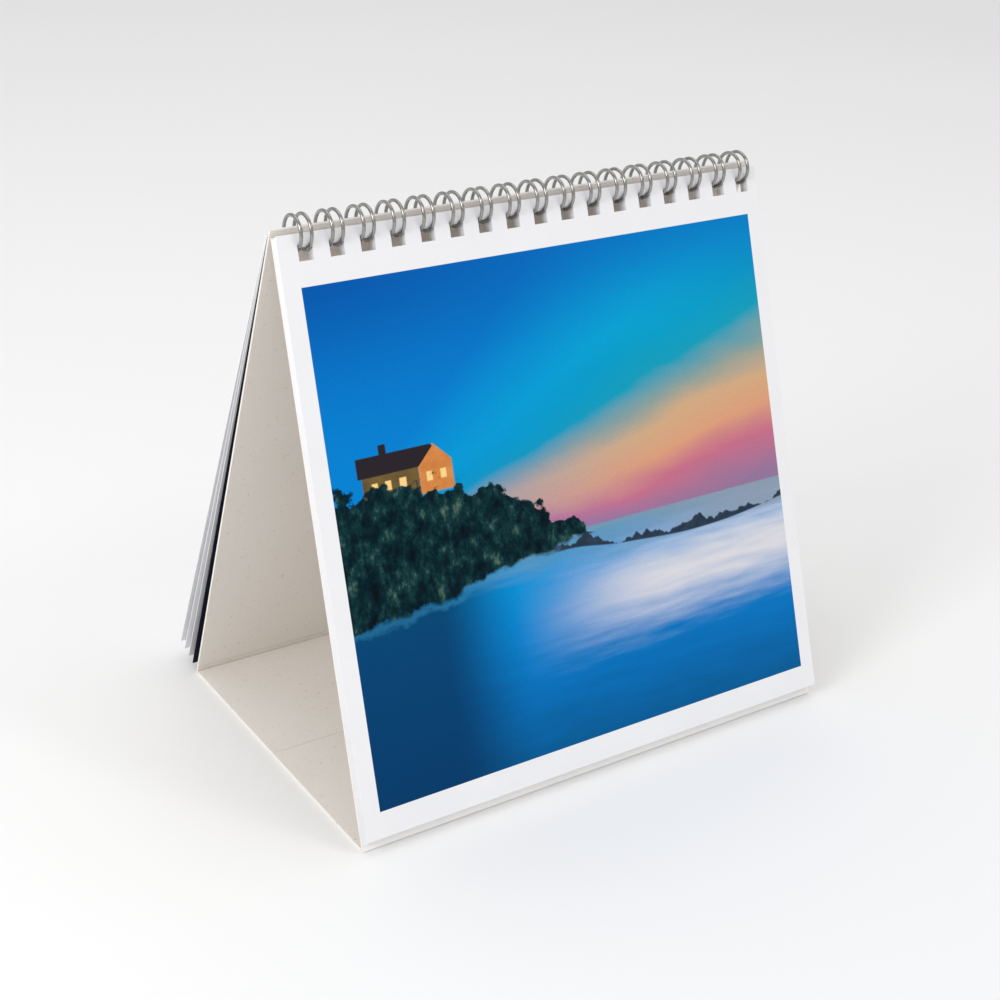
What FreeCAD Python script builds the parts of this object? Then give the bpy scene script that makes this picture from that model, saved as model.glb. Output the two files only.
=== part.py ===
import FreeCAD, Part
import Sketcher
import math
import os

from FreeCAD import Placement, Rotation, Vector

# Flip desk calendar: a folded board easel, a twin-loop wire along its ridge and square printed sheets.
# X runs along the ridge, the front faces -Y, and Z = 0 is the table under the middle of the base.
SIZES = {
    "board_width": 148.0,
    "slant_length": 150.5,
    "base_half": 47.0,
    "board_thickness": 0.7,
    "fold_strip": 2.6,
    "fold_gap": 0.1,
    "ridge_offset": 2.7,
    "page_width": 148.0,
    "page_length": 147.5,
    "page_thickness": 0.2,
    "page_gap": 0.02,
    "page_spread": 0.11,
    "turned_spread": 2.6,
    "front_pages": 9,
    "turned_pages": 4,
    "hole_side": 4.0,
    "hole_margin": 2.6,
    "hole_pitch": 8.467,
    "hole_count": 17,
    "hole_shift": 1.0,
    "wire_diameter": 0.9,
    "wire_clearance": 0.08,
    "loop_radius": 4.3,
    "loop_rise": 0.6,
    "loop_width": 2.8,
    "spine_bend": 0.7,
    "seam_gap": 0.3,
}

doc = FreeCAD.newDocument("flip_desk_calendar")
sheet = doc.addObject("Spreadsheet::Sheet", "Sizes")
for row, (alias, value) in enumerate(SIZES.items(), start=1):
    sheet.set(f"A{row}", alias)
    sheet.set(f"B{row}", str(value))
    sheet.setAlias(f"B{row}", alias)
doc.recompute()


def size(alias):
    return float(sheet.get(alias))


# ---- where the panels and the wire stand, worked out from the sizes ----
THICK = size("board_thickness")
SLANT = size("slant_length")
BASE_HALF = size("base_half")
RIDGE = size("ridge_offset")
FRONT_LEAN = math.asin((BASE_HALF + RIDGE - THICK) / SLANT)
REAR_LEAN = math.asin((BASE_HALF - RIDGE - THICK) / SLANT)
HOLE_MIDDLE = size("hole_margin") + size("hole_side") / 2
LOOP_LIFT = size("loop_radius") + size("loop_rise") - HOLE_MIDDLE
LOOP_CENTRE = Vector(0, RIDGE, SLANT * math.cos(FRONT_LEAN) + LOOP_LIFT)


class Panel:
    """A leaning face: its foot on the table, the way up it and the way out of the easel."""

    def __init__(self, side, lean):
        self.side = side
        self.lean = lean
        self.foot = Vector(0, side * BASE_HALF, 0)
        self.up = Vector(0, -side * math.sin(lean), math.cos(lean))
        self.out = Vector(0, side * math.cos(lean), math.sin(lean))

    def place(self, along, outward, turn=0.0):
        """Placement of a flat piece whose local Y runs up the panel, turned about its own foot."""
        angle = math.degrees(math.pi / 2 + self.side * self.lean) + turn
        base = self.foot + self.up * along + self.out * outward
        return Placement(base, Rotation(Vector(1, 0, 0), angle))


FRONT = Panel(-1, FRONT_LEAN)
REAR = Panel(1, REAR_LEAN)


# ---- flat pieces ----
def origin_plane(body, role):
    return next(f for f in body.Origin.OriginFeatures if f.Role == role)


def rectangle_sketch(body, name, left, bottom, width, height):
    """A rectangle on the body's XY plane. left is measured from the Y axis towards -X."""
    sketch = body.newObject("Sketcher::SketchObject", name)
    sketch.AttachmentSupport = [(origin_plane(body, "XY_Plane"), "")]
    sketch.MapMode = "FlatFace"
    corners = [Vector(-9, 1, 0), Vector(9, 1, 0), Vector(9, 9, 0), Vector(-9, 9, 0)]
    for start, end in zip(corners, corners[1:] + corners[:1]):
        sketch.addGeometry(Part.LineSegment(start, end), False)
    for line in range(4):
        sketch.addConstraint(Sketcher.Constraint("Coincident", line, 2, (line + 1) % 4, 1))
    for line, kind in enumerate(["Horizontal", "Vertical", "Horizontal", "Vertical"]):
        sketch.addConstraint(Sketcher.Constraint(kind, line))
    dimensions = {
        "left": ("DistanceX", 0, 1, -1, 1, 9.0, left),
        "width": ("DistanceX", 0, 1, 0, 2, 18.0, width),
        "height": ("DistanceY", 1, 1, 1, 2, 8.0, height),
        "bottom": ("DistanceY", -1, 1, 0, 1, 1.0, bottom),
    }
    for label, (*constraint, expression) in dimensions.items():
        number = sketch.addConstraint(Sketcher.Constraint(*constraint))
        sketch.renameConstraint(number, label)
        sketch.setExpression(f"Constraints.{label}", expression)
    return sketch


def flat_piece(name, width, bottom, height, thickness, inward):
    """A flat rectangle of board or paper, thickened away from or along its local Z."""
    body = doc.addObject("PartDesign::Body", name)
    body.Label = name
    outline = rectangle_sketch(body, f"{name}_outline", f"{width} / 2", bottom, width, height)
    pad = body.newObject("PartDesign::Pad", f"{name}_pad")
    pad.Profile = outline
    pad.Reversed = inward
    pad.setExpression("Length", f"Sizes.{thickness}")
    outline.Visibility = False
    return body


def punch(body, top, thickness):
    """The row of square binding holes, hole_margin below the piece's top edge."""
    plain = body.Shape.Volume
    name = body.Label
    row = "Sizes.hole_pitch * (Sizes.hole_count - 1)"
    square = rectangle_sketch(
        body,
        f"{name}_hole",
        f"({row} + Sizes.hole_side) / 2 - Sizes.hole_shift",
        f"{top} - Sizes.hole_margin - Sizes.hole_side",
        "Sizes.hole_side",
        "Sizes.hole_side",
    )
    pocket = body.newObject("PartDesign::Pocket", f"{name}_punch")
    pocket.Profile = square
    pocket.Type = "ThroughAll"
    pocket.Midplane = True
    doc.recompute()
    pattern = body.newObject("PartDesign::LinearPattern", f"{name}_row")
    pattern.Originals = [pocket]
    pattern.Direction = (square, ["H_Axis"])
    pattern.setExpression("Length", row)
    pattern.setExpression("Occurrences", "Sizes.hole_count")
    body.Tip = pattern
    doc.recompute()
    removed = size("hole_count") * size("hole_side") ** 2 * size(thickness)
    cut = plain - body.Shape.Volume
    if abs(cut - removed) > 0.01:
        raise RuntimeError(f"{name}: the holes remove {cut:.3f}, not {removed:.3f}")


def make_panels():
    """Front and rear panels, and the narrow strips between the two scores of each bottom fold."""
    for name, panel in (("front", FRONT), ("rear", REAR)):
        lift = THICK * math.tan(panel.lean) + size("fold_gap")
        body = flat_piece(
            f"{name}_panel",
            "Sizes.board_width",
            "Sizes.fold_strip + Sizes.fold_gap",
            "Sizes.slant_length - Sizes.fold_strip - Sizes.fold_gap",
            "board_thickness",
            panel is FRONT,
        )
        doc.recompute()
        punch(body, "Sizes.slant_length", "board_thickness")
        body.Placement = panel.place(0, 0)
        strip = flat_piece(
            f"{name}_fold_strip",
            "Sizes.board_width",
            f"{lift}",
            f"Sizes.fold_strip - {lift}",
            "board_thickness",
            panel is FRONT,
        )
        strip.Placement = panel.place(0, 0)


def base_reach(panel):
    """How far from the base's centre the inner face of a fold strip is, at the board's top face."""
    return BASE_HALF - THICK / math.cos(panel.lean) - THICK * math.tan(panel.lean)


def make_base():
    """The two halves of the base, lying on the table and meeting at the centre crease."""
    gap = size("fold_gap")
    for name, panel in (("base_front", FRONT), ("base_rear", REAR)):
        reach = base_reach(panel) - gap
        body = flat_piece(
            name,
            "Sizes.board_width",
            "Sizes.fold_gap / 2",
            f"{reach} - Sizes.fold_gap / 2",
            "board_thickness",
            panel is FRONT,
        )
        turn = 180 if panel is FRONT else 0
        body.Placement = Placement(Vector(0, 0, 0), Rotation(Vector(1, 0, 0), turn))


def hang(panel, inner, outer):
    """How far up the panel the top of a sheet is when the top edges of its holes rest on the wire."""
    centre = LOOP_CENTRE - panel.foot
    out = centre.dot(panel.out)
    wire = size("wire_diameter") / 2 + size("wire_clearance")
    reach = min(
        math.sqrt((size("loop_radius") - wire) ** 2 - (face - out) ** 2) for face in (inner, outer)
    )
    return centre.dot(panel.up) - reach + size("hole_margin")


def sheet_place(panel, number):
    """Placement of the sheet that lies number places out from the panel, spread a little at its foot."""
    pitch = size("page_thickness") + size("page_gap")
    inner = size("page_gap") + number * pitch
    top = hang(panel, inner, inner + size("page_thickness"))
    length = size("page_length")
    foot_gap = size("page_spread") if panel is FRONT else size("turned_spread")
    spread = math.asin(foot_gap * (number + 1) / length)
    drop = length * math.cos(spread)
    outward = inner + length * math.sin(spread)
    return panel.place(top - drop, outward, math.degrees(spread) * panel.side)


def sheet_names():
    """The sheets at the rear, innermost first, then those at the front, innermost first."""
    months = [f"month_sheet_{n:02d}" for n in range(1, int(size("front_pages") + size("turned_pages")))]
    turned = int(size("turned_pages"))
    rear = ["cover_sheet"] + months[: turned - 1]
    front = months[turned - 1 :][::-1]
    return rear, front


def make_sheets():
    rear, front = sheet_names()
    for panel, names in ((REAR, rear), (FRONT, front)):
        for number, name in enumerate(names):
            body = flat_piece(
                name,
                "Sizes.page_width",
                "0",
                "Sizes.page_length",
                "page_thickness",
                panel is REAR,
            )
            doc.recompute()
            punch(body, "Sizes.page_length", "page_thickness")
            body.Placement = sheet_place(panel, number)


# ---- twin-loop wire ----
def on_loop(x, angle, radius=None):
    radius = radius or size("loop_radius")
    return LOOP_CENTRE + Vector(x, radius * math.cos(angle), radius * math.sin(angle))


def bend(start, way, side, radius, quarters):
    """A planar arc that leaves start along way and curves towards side, and the point it ends at."""
    centre = start + side * radius

    def at(angle):
        return centre - side * (radius * math.cos(angle)) + way * (radius * math.sin(angle))

    sweep = quarters * math.pi / 2
    return Part.Arc(start, at(sweep / 2), at(sweep)).toShape(), at(sweep)


def make_wire():
    """One wire: up round each loop, back beside itself, then along the spine to the next loop.

    The spine lies inside the easel, midway between the panels, and the tips reach it through
    the rear holes.
    """
    radius = size("loop_radius")
    wire_radius = size("wire_diameter") / 2
    tip_bend = size("loop_width") / 2
    spine_bend = size("spine_bend")
    low = LOOP_CENTRE.z - radius
    front_inner = LOOP_CENTRE.y - inner_face_y(FRONT, low)
    rear_inner = inner_face_y(REAR, low) - LOOP_CENTRE.y
    spine = -math.pi / 2 + (rear_inner - front_inner) / 2 / radius
    start = spine - spine_bend / radius
    tip_room = 2 * wire_radius + size("seam_gap") + tip_bend
    end = spine + tip_room / radius - 2 * math.pi
    middle = (start + end) / 2
    spine_way = Vector(0, -math.sin(start), math.cos(start))
    tip_way = Vector(0, math.sin(end), -math.cos(end))
    right = Vector(1, 0, 0)
    pitch = size("hole_pitch")
    count = int(size("hole_count"))
    edges = []
    for number in range(count):
        x = (number - (count - 1) / 2) * pitch + size("hole_shift")
        near, far = x - tip_bend, x + tip_bend
        edges.append(Part.Arc(on_loop(near, start), on_loop(near, middle), on_loop(near, end)).toShape())
        edges.append(bend(on_loop(near, end), tip_way, right, tip_bend, 2)[0])
        edges.append(Part.Arc(on_loop(far, end), on_loop(far, middle), on_loop(far, start)).toShape())
        if number < count - 1:
            first, point = bend(on_loop(far, start), spine_way, right, spine_bend, 1)
            run = pitch - 2 * tip_bend - 2 * spine_bend
            reached = point + right * run
            last, _ = bend(reached, right, -spine_way, spine_bend, 1)
            edges += [first, Part.makeLine(point, reached), last]
    path = Part.Wire(edges)
    first = on_loop(-(count - 1) / 2 * pitch + size("hole_shift") - tip_bend, start)
    section = Part.Wire(Part.makeCircle(wire_radius, first, spine_way))
    solid = path.makePipeShell([section], True, False)
    feature = doc.addObject("Part::Feature", "binding_wire")
    feature.Label = "binding_wire"
    feature.Shape = solid
    feature.Placement = Placement()
    expected = math.pi * wire_radius**2 * path.Length
    print(f"wire length {path.Length:.1f} mm, volume {solid.Volume:.1f}, section x length {expected:.1f}")
    if abs(solid.Volume / expected - 1) > 0.01:
        raise RuntimeError("the wire's volume is not its section times its length")


def inner_face_y(panel, height):
    """Where the inner face of a panel is, at a height above the table."""
    inner = panel.foot - panel.out * THICK
    return (inner + panel.up * ((height - inner.z) / panel.up.z)).y


def check_and_export():
    """Every object must be sound before anything is written."""
    doc.recompute()
    for thing in doc.Objects:
        if {"Invalid", "Error"} & set(thing.State):
            raise RuntimeError(f"{thing.Name}: {thing.State}")
    pieces = [o for o in doc.Objects if o.TypeId == "PartDesign::Body" or o.Name == "binding_wire"]
    for piece in pieces:
        if piece.Shape.isNull() or not piece.Shape.isValid() or len(piece.Shape.Solids) != 1:
            raise RuntimeError(f"{piece.Label}: its shape is not one sound solid")
    os.makedirs("parts", exist_ok=True)
    for piece in pieces:
        piece.Shape.exportStep(f"parts/{piece.Label}.step")
    print(f"{len(pieces)} pieces")


make_panels()
make_base()
make_sheets()
make_wire()
check_and_export()
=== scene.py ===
from math import cos, radians, sin

import bpy
from mathutils import Matrix, Vector


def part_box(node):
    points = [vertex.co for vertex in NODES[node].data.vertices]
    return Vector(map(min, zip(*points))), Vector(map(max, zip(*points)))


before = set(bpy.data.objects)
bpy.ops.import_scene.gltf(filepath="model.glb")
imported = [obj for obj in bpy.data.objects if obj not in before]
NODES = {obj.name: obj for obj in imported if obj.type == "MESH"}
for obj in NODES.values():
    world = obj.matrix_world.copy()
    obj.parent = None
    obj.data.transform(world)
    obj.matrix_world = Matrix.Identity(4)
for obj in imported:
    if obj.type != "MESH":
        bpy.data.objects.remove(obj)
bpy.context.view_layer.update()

FRONT_SHEET = "month_sheet_04"
BACK_SHEET = "month_sheet_03"
MM_PER_METRE = 1000.0

# A face counts as facing a way when its normal has more than FACING of it, softened by TURN.
FACING = 0.5
TURN = 0.1

# The printed picture on the front sheet: mm across from the middle, and mm up from the foot.
PICTURE_LEFT, PICTURE_RIGHT = -69.3, 69.7
PICTURE_FOOT, PICTURE_TOP = 6.6, 134.9
PICTURE_EDGE = 0.05
HORIZON = 0.43
CRISP = 0.0015


def linear(red, green, blue):
    """A display colour, 0 to 255, as the linear RGBA that shaders take."""
    def one(level):
        share = level / 255
        return share / 12.92 if share <= 0.04045 else ((share + 0.055) / 1.055) ** 2.4
    return (one(red), one(green), one(blue), 1.0)


class Shader:
    """A material's node tree, with short calls for the nodes used here."""

    def __init__(self, name):
        self.material = bpy.data.materials.new(name)
        self.material.use_nodes = True
        self.tree = self.material.node_tree
        self.surface = self.tree.nodes["Principled BSDF"]
        coordinates = self.tree.nodes.new("ShaderNodeTexCoord")
        self.place = coordinates.outputs["Object"]
        self.facing = coordinates.outputs["Normal"]

    def put(self, socket, value):
        if isinstance(value, bpy.types.NodeSocket):
            self.tree.links.new(value, socket)
        else:
            socket.default_value = value

    def set(self, **inputs):
        for name, value in inputs.items():
            self.put(self.surface.inputs[name.replace("_", " ")], value)

    def axes(self, vector):
        split = self.tree.nodes.new("ShaderNodeSeparateXYZ")
        self.put(split.inputs[0], vector)
        return split.outputs[0], split.outputs[1], split.outputs[2]

    def join(self, x, y, z):
        combined = self.tree.nodes.new("ShaderNodeCombineXYZ")
        for socket, value in zip(combined.inputs, (x, y, z)):
            self.put(socket, value)
        return combined.outputs[0]

    def math(self, operation, first, second=0.0):
        node = self.tree.nodes.new("ShaderNodeMath")
        node.operation = operation
        self.put(node.inputs[0], first)
        self.put(node.inputs[1], second)
        return node.outputs[0]

    def add(self, first, second):
        return self.math("ADD", first, second)

    def times(self, first, second):
        return self.math("MULTIPLY", first, second)

    def spread(self, value, low, high, to_low=0.0, to_high=1.0, smooth=False):
        """value from low..high to to_low..to_high, held at both ends."""
        node = self.tree.nodes.new("ShaderNodeMapRange")
        node.interpolation_type = "SMOOTHSTEP" if smooth else "LINEAR"
        for socket, number in zip(node.inputs, (value, low, high, to_low, to_high)):
            self.put(socket, number)
        return node.outputs[0]

    def step(self, value, edge, soft):
        """1 where value is more than edge, softened either side."""
        return self.under(edge, value, soft)

    def under(self, value, limit, soft):
        """1 where value is less than limit, with a soft edge."""
        return self.spread(self.math("SUBTRACT", limit, value), -soft, soft, smooth=True)

    def within(self, value, low, high, soft):
        return self.times(self.step(value, low, soft), self.under(value, high, soft))

    def mix(self, share, first, second, blend="MIX"):
        node = self.tree.nodes.new("ShaderNodeMix")
        node.data_type = "RGBA"
        node.blend_type = blend
        self.put(node.inputs[0], share)
        self.put(node.inputs[6], first)
        self.put(node.inputs[7], second)
        return node.outputs[2]

    def ramp(self, value, stops):
        node = self.tree.nodes.new("ShaderNodeValToRGB")
        elements = node.color_ramp.elements
        while len(elements) < len(stops):
            elements.new(0.5)
        for element, (position, colour) in zip(elements, stops):
            element.position = position
            element.color = colour
        self.put(node.inputs[0], value)
        return node.outputs[0]

    def outline(self, value, points):
        """A curve through a few points, as for a skyline."""
        node = self.tree.nodes.new("ShaderNodeFloatCurve")
        curve = node.mapping.curves[0]
        for point in points[1:-1]:
            curve.points.new(*point)
        curve.points[0].location = points[0]
        curve.points[-1].location = points[-1]
        node.mapping.update()
        self.put(node.inputs["Value"], value)
        return node.outputs[0]

    def noise(self, vector, scale, detail=3.0, roughness=0.5):
        node = self.tree.nodes.new("ShaderNodeTexNoise")
        self.put(node.inputs["Vector"], vector)
        self.put(node.inputs["Scale"], scale)
        self.put(node.inputs["Detail"], detail)
        self.put(node.inputs["Roughness"], roughness)
        return node.outputs["Fac"]

    def stretch(self, vector, x, y, z):
        node = self.tree.nodes.new("ShaderNodeMapping")
        self.put(node.inputs["Vector"], vector)
        node.inputs["Scale"].default_value = (x, y, z)
        return node.outputs[0]

    def bump(self, height, distance, strength=1.0):
        node = self.tree.nodes.new("ShaderNodeBump")
        node.inputs["Strength"].default_value = strength
        node.inputs["Distance"].default_value = distance
        self.put(node.inputs["Height"], height)
        self.put(self.surface.inputs["Normal"], node.outputs[0])


def board_material(side):
    """Grey-cored board: white lining where it faces out, warmer and duller where it faces in."""
    shader = Shader(f"{side}_board")
    flecks = shader.noise(shader.place, 900.0, 4.0, 0.65)
    fibres = shader.noise(shader.stretch(shader.place, 1.0, 1.0, 0.25), 2600.0, 2.0)
    clouds = shader.noise(shader.place, 28.0, 3.0)
    grey = shader.mix(clouds, linear(231, 225, 218), linear(239, 234, 228))
    grey = shader.mix(shader.step(flecks, 0.66, 0.05), grey, linear(214, 206, 196))
    white = shader.mix(clouds, linear(244, 243, 241), linear(250, 249, 247))
    _, across, up = shader.axes(shader.facing)
    if side == "rear":
        lined = shader.step(across, FACING, TURN)
    else:
        lined = shader.under(across if side == "front" else up, -FACING, TURN)
    shader.set(
        Base_Color=shader.mix(lined, grey, white),
        Roughness=shader.spread(flecks, 0.3, 0.7, 0.62, 0.8),
    )
    shader.bump(shader.add(fibres, flecks), 0.00002, 0.5)
    return shader.material


def paper_colour(shader):
    """Smooth heavy paper: nearly white, with a faint mottle and a fine tooth."""
    tooth = shader.noise(shader.place, 4200.0, 3.0)
    mottle = shader.noise(shader.place, 60.0, 2.0)
    shader.bump(tooth, 0.00001, 0.35)
    shader.set(Roughness=shader.spread(tooth, 0.35, 0.65, 0.46, 0.56), Specular_IOR_Level=0.05)
    return shader.mix(mottle, linear(238, 238, 241), linear(244, 244, 246))


def plain_paper():
    shader = Shader("plain_paper")
    shader.set(Base_Color=paper_colour(shader))
    return shader.material


def cover_paper():
    # Colours the cover sheet dark blue-black all over, on both faces, with a faint weave in the
    # colour.
    shader = Shader("cover_paper")
    paper_colour(shader)
    weave = shader.noise(shader.place, 300.0, 4.0)
    shader.set(Base_Color=shader.mix(weave, linear(18, 22, 34), linear(34, 40, 56)))
    return shader.material


def page_coordinates(shader, node):
    """Across and up a sheet, in millimetres: from its middle, and from its bottom edge."""
    low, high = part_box(node)
    length = (Vector((0, high.y, high.z)) - Vector((0, low.y, low.z))).length * MM_PER_METRE
    x, _, z = shader.axes(shader.place)
    return shader.times(x, MM_PER_METRE), shader.spread(z, low.z, high.z, 0.0, length)


def sky(shader, across, up):
    """Dusk: the glow climbs from the horizon towards the right, under teal and then blue."""
    reach = shader.spread(across, 0.0, 1.0, 0.04, 0.43)
    drift = shader.join(shader.times(across, 1.2), shader.times(up, 3.0), 0.0)
    streaks = shader.noise(drift, 2.2, 3.0)
    level = shader.math("DIVIDE", shader.math("SUBTRACT", up, HORIZON), reach)
    level = shader.add(level, shader.spread(streaks, 0.3, 0.7, -0.07, 0.07))
    tone = shader.ramp(
        shader.times(level, 0.4),
        [
            (0.0, linear(150, 118, 156)),
            (0.07, linear(200, 112, 138)),
            (0.14, linear(222, 160, 124)),
            (0.22, linear(212, 172, 132)),
            (0.29, linear(140, 162, 156)),
            (0.36, linear(16, 158, 188)),
            (0.44, linear(0, 160, 202)),
            (0.54, linear(0, 166, 214)),
            (0.75, linear(0, 150, 214)),
            (1.0, linear(0, 124, 204)),
        ],
    )
    left = shader.under(across, 0.42, 0.34)
    tone = shader.mix(shader.times(left, 0.5), tone, linear(0, 134, 214))
    high = shader.step(up, 0.92, 0.14)
    tone = shader.mix(shader.times(high, 0.85), tone, linear(0, 108, 192))
    corner = shader.times(shader.step(up, 0.86, 0.24), shader.under(across, 0.4, 0.44))
    return shader.mix(shader.times(corner, 0.7), tone, linear(0, 66, 156))


def sea(shader, across, up):
    """Still water: a pale reflection at the right, azure beside it and deep blue below."""
    drift = shader.join(shader.times(across, 2.0), shader.times(up, 16.0), 0.0)
    ripples = shader.noise(drift, 3.0, 4.0)
    depth = shader.add(up, shader.spread(ripples, 0.3, 0.7, -0.02, 0.02))
    water = shader.ramp(
        depth,
        [
            (0.0, linear(0, 92, 150)),
            (0.12, linear(0, 110, 182)),
            (0.24, linear(0, 130, 206)),
            (0.35, linear(0, 144, 214)),
            (0.43, linear(112, 154, 182)),
        ],
    )
    shine = shader.math("SUBTRACT", depth, shader.spread(across, 0.3, 1.0, 0.27, 0.30))
    shine = shader.under(shader.math("ABSOLUTE", shine), 0.06, 0.075)
    shine = shader.times(shine, shader.step(across, 0.52, 0.2))
    water = shader.mix(shader.times(shine, 0.92), water, linear(234, 228, 228))
    far = shader.times(shader.step(depth, 0.372, 0.02), shader.step(across, 0.72, 0.22))
    water = shader.mix(shader.times(far, 0.75), water, linear(148, 158, 174))
    dim = shader.times(shader.under(across, 0.27, 0.1), shader.under(depth, 0.4, 0.06))
    return shader.mix(shader.times(dim, 0.9), water, linear(0, 54, 98))


def land(shader, picture, across, up):
    """A wooded headland at the left and low rocks running out from it."""
    point = shader.join(across, up, 0.0)
    leaves = shader.noise(point, 46.0, 5.0, 0.65)
    bushes = shader.noise(point, 15.0, 2.0)
    top = shader.outline(
        across,
        [
            (0.0, 0.60),
            (0.12, 0.595),
            (0.28, 0.575),
            (0.36, 0.54),
            (0.42, 0.50),
            (0.5, 0.43),
            (1.0, 0.3),
        ],
    )
    rough = shader.add(
        shader.spread(leaves, 0.3, 0.7, -0.012, 0.012), shader.spread(bushes, 0.3, 0.7, -0.03, 0.03)
    )
    foot = shader.outline(
        across, [(0.0, 0.345), (0.2, 0.365), (0.35, 0.395), (0.5, 0.41), (1.0, 0.5)]
    )
    foot = shader.add(foot, shader.spread(leaves, 0.3, 0.7, -0.006, 0.006))
    foot = shader.add(foot, shader.spread(bushes, 0.3, 0.7, -0.01, 0.01))
    hill = shader.times(
        shader.under(up, shader.add(top, rough), 0.004), shader.under(foot, up, 0.006)
    )
    hill = shader.times(hill, shader.under(across, 0.56, 0.01))
    crags = shader.noise(shader.stretch(point, 1.0, 0.6, 1.0), 30.0, 6.0, 0.7)
    soil = shader.ramp(
        crags,
        [
            (0.36, linear(0, 14, 22)),
            (0.48, linear(2, 34, 42)),
            (0.57, linear(18, 58, 60)),
            (0.68, linear(84, 108, 96)),
        ],
    )
    surf = shader.within(up, shader.add(foot, -0.014), foot, 0.006)
    surf = shader.times(surf, shader.under(across, 0.5, 0.05))
    picture = shader.mix(shader.times(surf, 0.3), picture, linear(60, 150, 190))
    picture = shader.mix(hill, picture, soil)
    ledge = shader.outline(
        across, [(0.0, 0.3), (0.44, 0.405), (0.6, 0.388), (0.8, 0.376), (1.0, 0.396)]
    )
    swell = shader.noise(shader.join(across, 0.0, 0.0), 11.0, 4.0, 0.6)
    crest = shader.add(ledge, shader.spread(swell, 0.36, 0.68, -0.014, 0.026))
    rocks = shader.within(up, shader.add(ledge, -0.01), crest, 0.002)
    rocks = shader.times(rocks, shader.step(across, 0.44, 0.02))
    stone = shader.mix(leaves, linear(14, 30, 48), linear(58, 76, 96))
    return shader.mix(rocks, picture, stone)


def rectangle(shader, across, up, left, right, bottom, top):
    return shader.times(
        shader.within(across, left, right, CRISP), shader.within(up, bottom, top, CRISP)
    )


def cottage(shader, picture, across, up):
    """A small lit cottage: a long wall, a gable end, a pitched roof and a chimney."""
    ground, eaves, ridge = 0.575, 0.632, 0.668
    corner, far_left, far_right = 0.175, 0.06, 0.245
    middle = (corner + far_right) / 2
    glow = shader.noise(shader.join(across, up, 0.0), 26.0, 4.0)
    wall = shader.mix(glow, linear(54, 54, 44), linear(140, 112, 58))
    gable = shader.mix(glow, linear(190, 104, 46), linear(232, 160, 88))
    chimney = rectangle(shader, across, up, 0.10, 0.115, eaves, ridge + 0.018)
    picture = shader.mix(chimney, picture, linear(40, 36, 40))
    long_side = rectangle(shader, across, up, far_left, corner, ground, eaves)
    picture = shader.mix(long_side, picture, wall)
    off = shader.math("ABSOLUTE", shader.math("SUBTRACT", across, middle))
    peak = shader.spread(off, 0.0, far_right - middle, ridge, eaves)
    end = shader.times(
        shader.within(across, corner, far_right, CRISP), shader.within(up, ground, peak, CRISP)
    )
    picture = shader.mix(end, picture, gable)
    slope = shader.spread(across, middle - 0.006, far_right, ridge, eaves)
    tiles = shader.within(up, eaves - 0.003, slope, CRISP)
    tiles = shader.times(tiles, shader.within(across, far_left - 0.008, middle, CRISP))
    below_verge = shader.under(up, shader.math("SUBTRACT", peak, 0.004), 0.001)
    over_gable = shader.times(shader.step(across, corner, CRISP), below_verge)
    tiles = shader.times(tiles, shader.math("SUBTRACT", 1.0, over_gable))
    picture = shader.mix(tiles, picture, linear(42, 36, 42))
    for left, bottom, width, height in (
        (0.078, 0.598, 0.012, 0.018),
        (0.105, 0.598, 0.012, 0.018),
        (0.134, 0.578, 0.014, 0.038),
        (middle - 0.020, 0.598, 0.012, 0.018),
        (middle + 0.009, 0.598, 0.012, 0.018),
    ):
        pane = rectangle(shader, across, up, left, left + width, bottom, bottom + height)
        picture = shader.mix(pane, picture, linear(255, 214, 140))
    return picture


def printed_paper():
    """The front sheet: a coastal scene at dusk inside a white margin."""
    shader = Shader("printed_paper")
    paper = paper_colour(shader)
    x, y = page_coordinates(shader, FRONT_SHEET)
    across = shader.math(
        "DIVIDE", shader.math("SUBTRACT", x, PICTURE_LEFT), PICTURE_RIGHT - PICTURE_LEFT
    )
    up = shader.math("DIVIDE", shader.math("SUBTRACT", y, PICTURE_FOOT), PICTURE_TOP - PICTURE_FOOT)
    above = shader.step(up, HORIZON, 0.002)
    picture = shader.mix(above, sea(shader, across, up), sky(shader, across, up))
    picture = cottage(shader, picture, across, up)
    picture = land(shader, picture, across, up)
    grain = shader.noise(shader.join(across, up, 0.0), 420.0, 2.0)
    speckle = shader.ramp(grain, [(0.3, (0.2, 0.2, 0.2, 1)), (0.7, (0.8, 0.8, 0.8, 1))])
    picture = shader.mix(0.18, picture, speckle, "OVERLAY")
    _, facing, _ = shader.axes(shader.facing)
    inside = shader.times(
        shader.within(x, PICTURE_LEFT, PICTURE_RIGHT, PICTURE_EDGE),
        shader.within(y, PICTURE_FOOT, PICTURE_TOP, PICTURE_EDGE),
    )
    inside = shader.times(inside, shader.under(facing, -FACING, TURN))
    shader.set(Base_Color=shader.mix(inside, paper, picture))
    return shader.material


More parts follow.
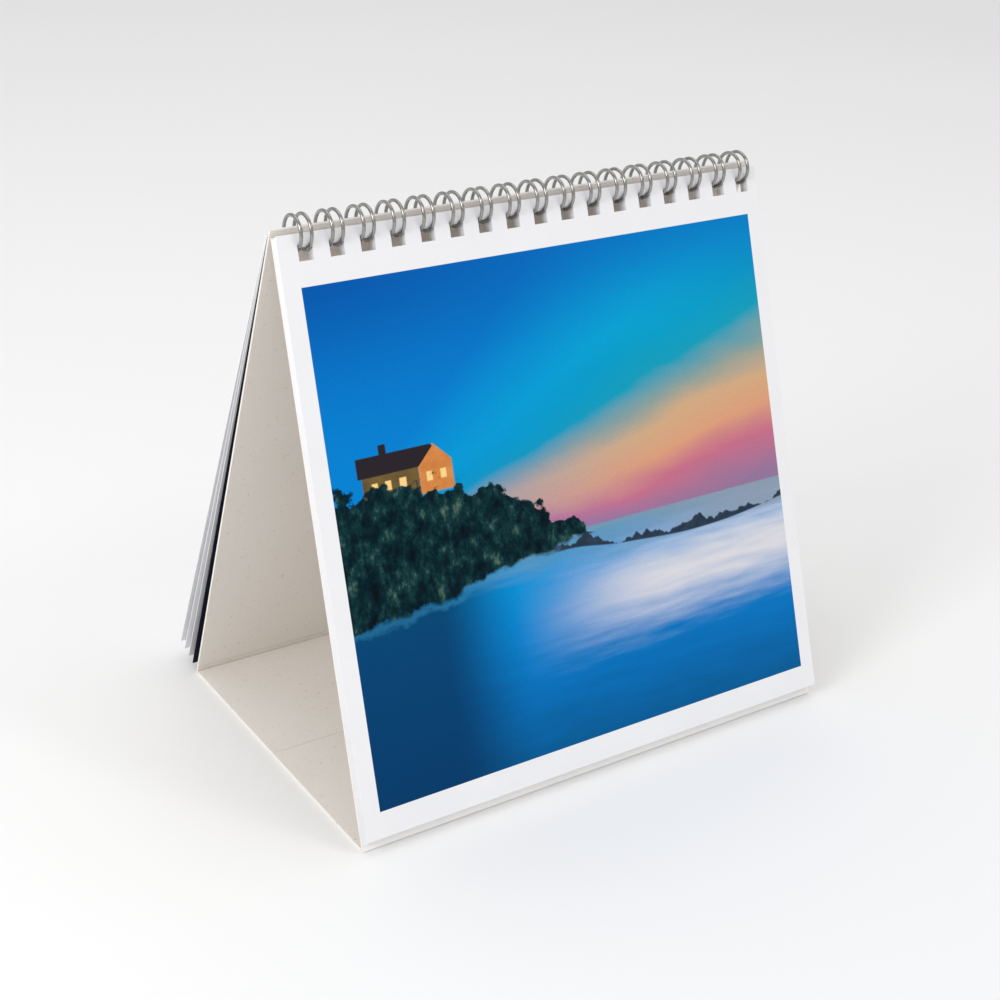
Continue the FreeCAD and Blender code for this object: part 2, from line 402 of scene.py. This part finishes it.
def planner_paper():
    """The back of the outermost turned sheet: a ruled grey month grid under a blue bar."""
    shader = Shader("planner_paper")
    paper = paper_colour(shader)
    x, y = page_coordinates(shader, BACK_SHEET)
    _, facing, _ = shader.axes(shader.facing)
    behind = shader.step(facing, FACING, TURN)
    columns, rows = 7, 6
    wide, tall = 18.4, 17.0
    foot = 10.0
    column = shader.math("DIVIDE", shader.math("SUBTRACT", x, -columns / 2 * wide), wide)
    row = shader.math("DIVIDE", shader.math("SUBTRACT", y, foot), tall)
    half_x, half_y, soft = 0.012, 0.013, 0.004
    rule = shader.math("PINGPONG", column, 0.5)
    cross = shader.math("PINGPONG", row, 0.5)
    lines = shader.math(
        "MAXIMUM", shader.under(rule, half_x, soft), shader.under(cross, half_y, soft)
    )
    area = shader.times(
        shader.within(column, -half_x, columns + half_x, soft),
        shader.within(row, -half_y, rows + half_y, soft),
    )
    bar = shader.times(
        shader.within(column, 0.0, columns, soft),
        shader.within(row, rows + 0.08, rows + 0.55, soft),
    )
    ink = shader.mix(shader.times(area, lines), paper, linear(120, 130, 142))
    ink = shader.mix(bar, ink, linear(34, 108, 160))
    shader.set(Base_Color=shader.mix(behind, paper, ink))
    return shader.material


def wire_material():
    """Drawn steel wire, with faint drawing lines and a slightly uneven shine."""
    shader = Shader("drawn_wire")
    drawn = shader.noise(shader.place, 1500.0, 4.0, 0.6)
    uneven = shader.noise(shader.place, 220.0, 2.0)
    shader.set(
        Base_Color=shader.mix(uneven, linear(140, 139, 137), linear(172, 171, 168)),
        Metallic=1.0,
        Roughness=shader.spread(drawn, 0.3, 0.7, 0.13, 0.24),
    )
    shader.bump(drawn, 0.00001, 0.4)
    return shader.material


def finish_with(node, material):
    for slot in NODES[node].material_slots:
        slot.material = material


def give_materials():
    front, rear, base = (board_material(side) for side in ("front", "rear", "base"))
    for node, material in {
        "front_panel": front, "front_fold_strip": front,
        "rear_panel": rear, "rear_fold_strip": rear,
        "base_front": base, "base_rear": base,
        "binding_wire": wire_material(),
        "cover_sheet": cover_paper(),
        FRONT_SHEET: printed_paper(),
        BACK_SHEET: planner_paper(),
    }.items():
        finish_with(node, material)
    plain = plain_paper()
    for node in NODES:
        if node.startswith("month_sheet") and node not in (FRONT_SHEET, BACK_SHEET):
            finish_with(node, plain)


# ---- floor, light and camera ----
def make_floor():
    bpy.ops.mesh.primitive_plane_add(size=6.0, location=(0, 0, 0))
    floor = bpy.context.object
    floor.name = "floor"
    shader = Shader("pale_floor")
    cloud = shader.noise(shader.place, 3.0, 2.0)
    shader.set(
        Base_Color=shader.mix(cloud, linear(244, 244, 244), linear(247, 247, 247)), Roughness=0.9
    )
    floor.data.materials.append(shader.material)


def make_lights():
    world = bpy.data.worlds.new("studio")
    bpy.context.scene.world = world
    world.use_nodes = True
    world.node_tree.nodes["Background"].inputs[0].default_value = (1.0, 1.0, 1.0, 1.0)
    world.node_tree.nodes["Background"].inputs[1].default_value = 0.73
    for name, place, power, width in (
        ("key", (0.55, -0.75, 0.95), 1.4, 0.25),
        ("fill", (-0.85, -0.2, 0.5), 3.2, 0.35),
        ("top", (0.0, 0.3, 1.2), 2.0, 0.9),
    ):
        light = bpy.data.lights.new(name, "AREA")
        light.energy = power
        light.size = width
        lamp = bpy.data.objects.new(name, light)
        bpy.context.collection.objects.link(lamp)
        lamp.location = place
        aim = Vector((0, 0, 0.07)) - lamp.location
        lamp.rotation_euler = aim.to_track_quat("-Z", "Y").to_euler()


def make_camera():
    """Seen from the front left and a little above, at the angles fitted to the object's corners."""
    azimuth, elevation, roll = radians(-32.601), radians(23.443), radians(2.149)
    target = Vector((-0.02667, 0.01677, 0.08275))
    distance = 0.455512
    sensor_width = 36.0
    lens_to_sensor = 1.7084
    back = Vector((sin(azimuth) * cos(elevation), -cos(azimuth) * cos(elevation), sin(elevation)))
    level = (-back).cross(Vector((0, 0, 1))).normalized()
    upright = level.cross(-back)
    right = level * cos(roll) + upright * sin(roll)
    up = upright * cos(roll) - level * sin(roll)
    lens = bpy.data.cameras.new("camera")
    lens.sensor_width = sensor_width
    lens.lens = sensor_width * lens_to_sensor
    lens.shift_x = 0.0975
    lens.shift_y = -0.0865
    lens.clip_start = 0.01
    camera = bpy.data.objects.new("camera", lens)
    bpy.context.collection.objects.link(camera)
    turn = Matrix((right, up, back)).transposed().to_4x4()
    camera.matrix_world = Matrix.Translation(target + back * distance) @ turn
    bpy.context.scene.camera = camera


give_materials()
make_floor()
make_lights()
make_camera()
bpy.context.scene.view_settings.view_transform = "Standard"
